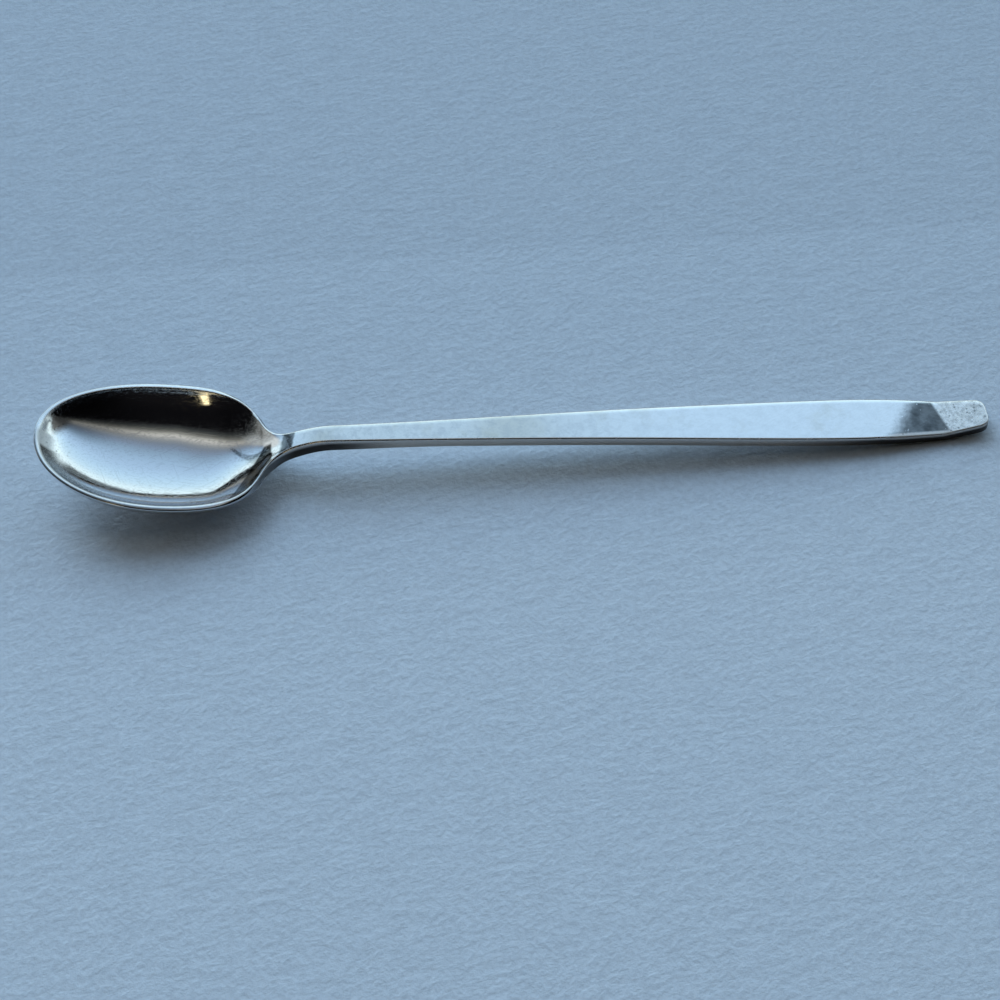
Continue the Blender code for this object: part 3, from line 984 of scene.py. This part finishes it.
def heel_painted_reflection(tree, x, y, on_top):
    """Painted dark reflection in the near corner of the bowl's heel."""
    slanted = reckon(tree, "SUBTRACT", x, product(tree, y, HEEL_SLANT))
    return product(tree, rise(tree, slanted, *HEEL_LEFT), rise(tree, x, *HEEL_RIGHT),
                   rise(tree, y, *HEEL_FAR_Y), on_top)


def bend_painted_reflection(tree, x, y, ragged, on_top):
    """Painted dark reflection across the bend of the neck."""
    slanted = reckon(tree, "SUBTRACT", x, product(tree, y, BEND_SLANT))
    slanted = total(tree, slanted, product(tree, ragged, BEND_RAGGED))
    return product(tree, rise(tree, slanted, *BEND_LEFT), rise(tree, slanted, *BEND_RIGHT), on_top)


def dark_specks(tree, place, dark_reflection, at_end, at_tip, underside):
    """Pits at the tip, at the end and in the painted dark reflection before the end."""
    pitted = highest(tree, at_end, at_tip, product(tree, dark_reflection, PITTED_REFLECTION))
    return product(tree, pits(tree, place, SPECK_FINENESS, SPECK_SIZE), pitted,
                   rise(tree, noise(tree, place, SPECK_CLUSTER_FINENESS), *SPECK_CLUSTERS),
                   rise(tree, underside, *SPECK_FACE))


def dark_tip(tree, x, y, on_wall):
    """Painted dark reflection on the wall under the rim, on both sides of the tip and most of all at its
    near corner.
    """
    sides = product(tree, rise(tree, x, *TIP_SIDES), rise(tree, reckon(tree, "ABSOLUTE", y), *TIP_SIDES_Y))
    corner = product(tree, rise(tree, y, *TIP_CORNER_Y), rise(tree, x, *TIP_CORNER))
    dark = highest(tree, product(tree, sides, TIP_SIDES_DARK), product(tree, corner, TIP_CORNER_DARK))
    return product(tree, dark, on_wall)


def scoured_tip(tree, x, y, on_wall):
    """The wall is scoured dull in the middle of the tip."""
    middle = rise(tree, distance(tree, y, TIP_MIDDLE_AT_Y), *TIP_MIDDLE_HALF_Y)
    return product(tree, middle, rise(tree, x, *TIP_MIDDLE), on_wall)


def dark_rim(tree, x, y, underside):
    """Painted shade: the rim's outer half is darker around the near side of the tip."""
    outer = product(tree, rise(tree, underside, *RIM_OUTER), rise(tree, underside, *RIM_OUTER_END))
    return product(tree, outer, rise(tree, x, *RIM_DARK), rise(tree, y, *RIM_DARK_Y))


def side_colour(tree, x, y, underside):
    """The upright sides of the handle, darker towards the end and the neck, low down and most of all on the
    near side: painted shade for the handle's shadow that they mirror, with some tarnish.
    """
    dark = highest(tree, rise(tree, x, *SIDE_DARK_END), rise(tree, x, *SIDE_DARK_NECK))
    dark = product(tree, dark, rise(tree, underside, *SIDE_DARK_LOW))
    # painted shade: the near side is darker than the far side
    tarnish = blend(tree, rise(tree, y, *SIDE_NEAR_Y), DARK_TARNISH_AND_SHADE, NEAR_SIDE_PAINTED_SHADE)
    return blend(tree, dark, SIDE_SILVER, tarnish)


def silver():
    """Worn silver: cloudy tarnish, scratches, pits at the tip and the end, bright rubbed edges, and painted
    shade and dark reflections at the tip, heel, neck, handle end and sides.
    """
    material, tree, shader, place = new_material("worn_silver")
    x, y = along_axes(tree, place)[:2]
    worn_edge = rise(tree, spoon_attribute(tree, "edge_wear"), *RUBBED_EDGE)
    on_side = spoon_attribute(tree, "side")
    underside = spoon_attribute(tree, "underside")
    on_wall = spoon_attribute(tree, "wall")
    on_slope = spoon_attribute(tree, "worn_slope")
    on_top = rise(tree, underside, *UPPER_FACE)
    on_handle = rise(tree, x, *HANDLE_FROM)
    in_bowl = inverse(tree, on_handle)
    on_stem = product(tree, rise(tree, x, *STEM_FROM), on_handle)
    at_end = rise(tree, x, *END_FROM)
    at_tip = rise(tree, x, *TIP_FROM)

    clouds = noise(tree, place, CLOUD_FINENESS, detail=6.0, roughness=0.62)
    tarnish = rise(tree, clouds, *CLOUD_TARNISH)
    grain = noise(tree, place, GRAIN_FINENESS, detail=3.0, roughness=0.6)
    fine = fine_scratches(tree, place, in_bowl)
    ragged = reckon(tree, "SUBTRACT", noise(tree, place, RAGGED_FINENESS), 0.5)
    ragged = product(tree, ragged, RAGGED_DEPTH)
    # painted dark reflection on the flat before the turned-up end
    dark_reflection = dark_painted_reflection(tree, place, x, y, ragged)
    # painted dark reflections in the heel's near corner and across the bend of the neck
    heel_reflection = heel_painted_reflection(tree, x, y, on_top)
    heel_reflection_tint = blend(tree, rise(tree, y, *HEEL_PALER_Y), BLACK_PAINTED_REFLECTION, DARK_TARNISH_AND_SHADE)
    bend_reflection = bend_painted_reflection(tree, x, y, ragged, on_top)
    specks = dark_specks(tree, place, dark_reflection, at_end, at_tip, underside)
    tip_middle = scoured_tip(tree, x, y, on_wall)
    worn_wall = product(tree, on_wall, rise(tree, y, *WORN_WALL_Y))

    stem_patch = rise(tree, distance(tree, x, STEM_PATCH_AT), *STEM_PATCH_HALF)
    yellowed = total(tree, product(tree, tarnish, CLOUD_YELLOW), product(tree, on_stem, STEM_YELLOW),
                     product(tree, stem_patch, PATCH_YELLOW))
    mottled = noise(tree, place, END_MOTTLE_FINENESS, detail=6.0, roughness=0.75)
    mottled = rise(tree, mottled, *END_MOTTLE)
    dirty_end = total(tree, product(tree, at_end, END_DIRT),
                      product(tree, at_end, mottled, END_MOTTLE_DIRT))
    mottle = noise(tree, place, FACE_MOTTLE_FINENESS, detail=8.0, roughness=0.72)
    mottle = product(tree, rise(tree, mottle, *FACE_MOTTLE), on_handle)
    worn_face = product(tree, mottle, total(tree, FACE_WEAR, product(tree, on_stem, STEM_WEAR)))

    # from the bottom layer up: where it lies, how strong it is and its colour
    colour = blend(tree, yellowed, CLEAN_SILVER, YELLOW_TARNISH)
    for where, strength, tint in (
        (in_bowl, 0.9, DULL_SILVER),
        (worn_face, 1.0, SCRATCHED_SILVER),
        (on_wall, 0.8, RUBBED_SILVER),
        # painted dark reflection on the wall at the tip
        (dark_tip(tree, x, y, on_wall), 1.0, DARK_TARNISH_AND_SHADE),
        (at_end, 0.9, WORN_END),
        (dirty_end, 1.0, DARK_TARNISH_AND_SHADE),
        (dark_reflection, 0.97, PAINTED_DARK_REFLECTION),
        (heel_reflection, 1.0, heel_reflection_tint),
        (bend_reflection, 0.90, DARK_TARNISH_AND_SHADE),
        (on_slope, 0.9, RUBBED_SILVER),
        (specks, 0.7, DARK_TARNISH_AND_SHADE),
        (fine, 0.22, SCRATCHED_SILVER),
        (worn_edge, 0.8, RUBBED_SILVER),
        # painted shade on the rim's outer half, near side of the tip
        (dark_rim(tree, x, y, underside), 0.75, DARK_TARNISH_AND_SHADE),
        # painted shade on the handle's upright sides, with some tarnish
        (on_side, 1.0, side_colour(tree, x, y, underside)),
    ):
        colour = blend(tree, product(tree, where, strength), colour, tint)
    tree.links.new(colour, shader.inputs["Base Color"])
    shader.inputs["Metallic"].default_value = 1.0

    # where the polish is gone, and how much rougher it is there
    rough = POLISH
    for where, rougher in (
        (grain, 0.04),
        (tarnish, 0.06),
        (fine, 0.10),
        (at_end, 0.15),
        (mottle, 0.06),
        (worn_wall, 0.20),
        (on_slope, 0.30),
        (tip_middle, 0.25),
        (worn_edge, 0.14),
    ):
        rough = total(tree, rough, product(tree, where, rougher))
    tree.links.new(rough, shader.inputs["Roughness"])

    dents = highest(tree, product(tree, fine, SCRATCH_DEPTH), specks)
    height = reckon(tree, "SUBTRACT", product(tree, clouds, CLOUD_HEIGHT), dents)
    emboss(tree, shader, height, SILVER_BUMP, SILVER_BUMP_STRENGTH)
    return material


bpy.context.scene.view_settings.view_transform = "Standard"
spoon = make_spoon()
spoon.data.materials.append(silver())
make_floor()
make_lights()
make_surroundings()
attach(spoon, "root")
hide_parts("spoon")
make_camera()
